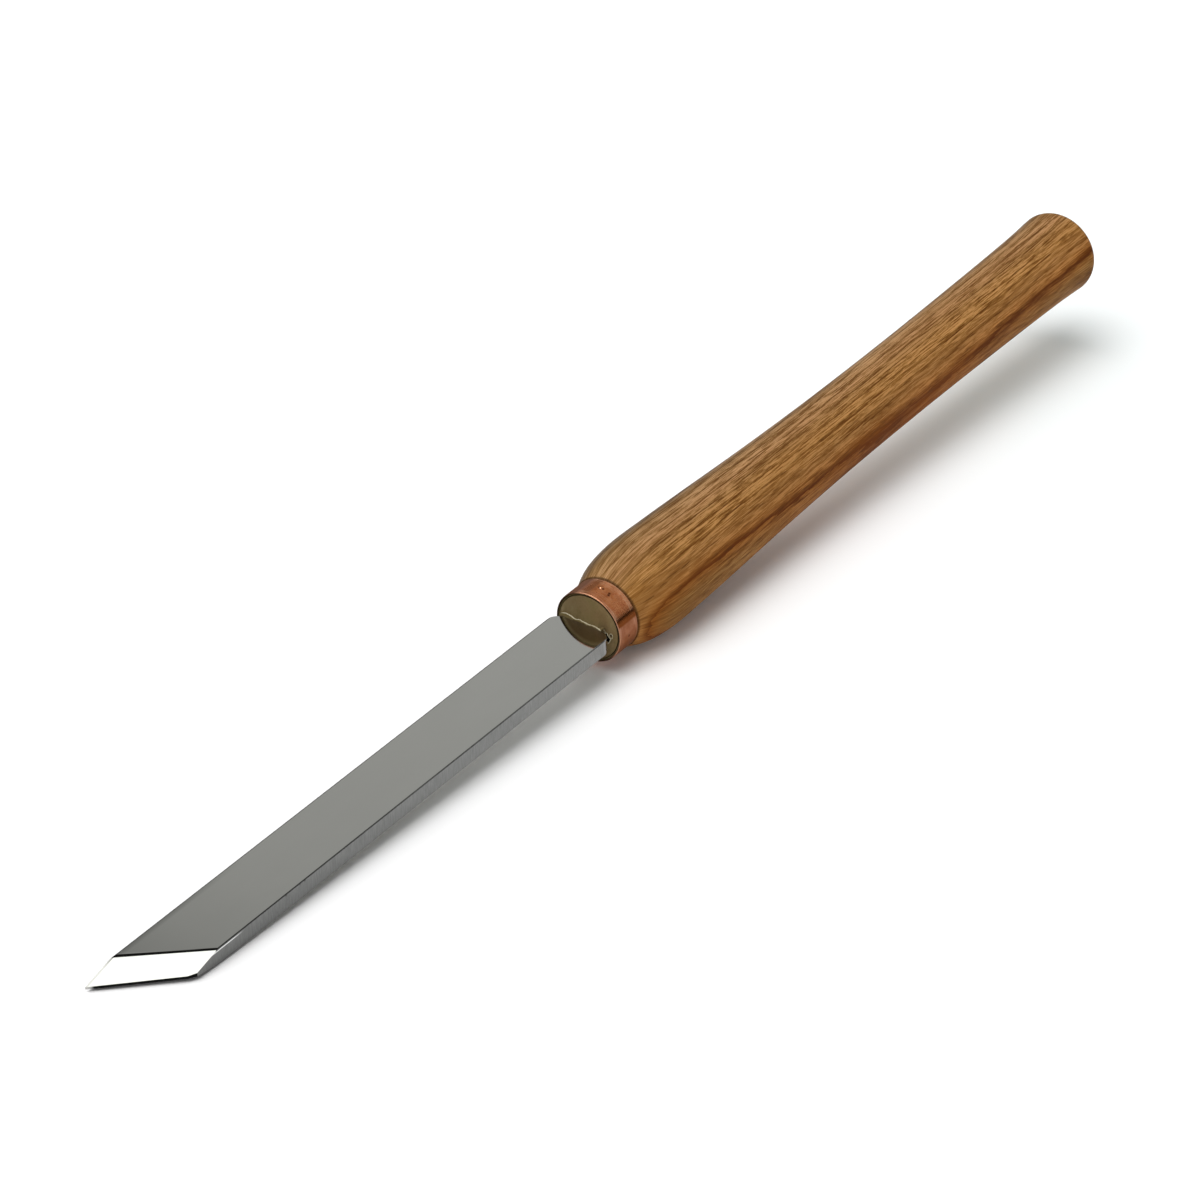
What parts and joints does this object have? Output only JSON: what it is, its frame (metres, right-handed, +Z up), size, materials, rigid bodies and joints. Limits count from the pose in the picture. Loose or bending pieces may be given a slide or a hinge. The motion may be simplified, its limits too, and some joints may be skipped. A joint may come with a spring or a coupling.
{
  "type": "skew chisel",
  "caption": "Woodturning skew chisel: flat steel blade with a skewed double-bevel edge, glued by its tang into a turned wooden handle with a copper ferrule.",
  "frame": {"origin": "middle of the tool's footprint on the surface it lies on", "axes": "+X along the tool from the cutting edge to the butt, +Y across it towards the blade's long point, +Z up; the tool lies as put down, on its belly and both heel corners under the blade"},
  "size_m": [0.464, 0.0298, 0.0437],
  "materials": {
    "polished_steel": "ground and polished, near mirror",
    "copper": "plain copper pipe, lightly worn satin",
    "varnished_wood": "open-grained hardwood, satin varnish",
    "adhesive": "set epoxy, cream, slightly glossy"
  },
  "bodies": {
    "root": {"blade_with_tang": "polished_steel", "ferrule": "copper", "handle": "varnished_wood", "tang_adhesive": "adhesive"}
  },
  "joints": []
}
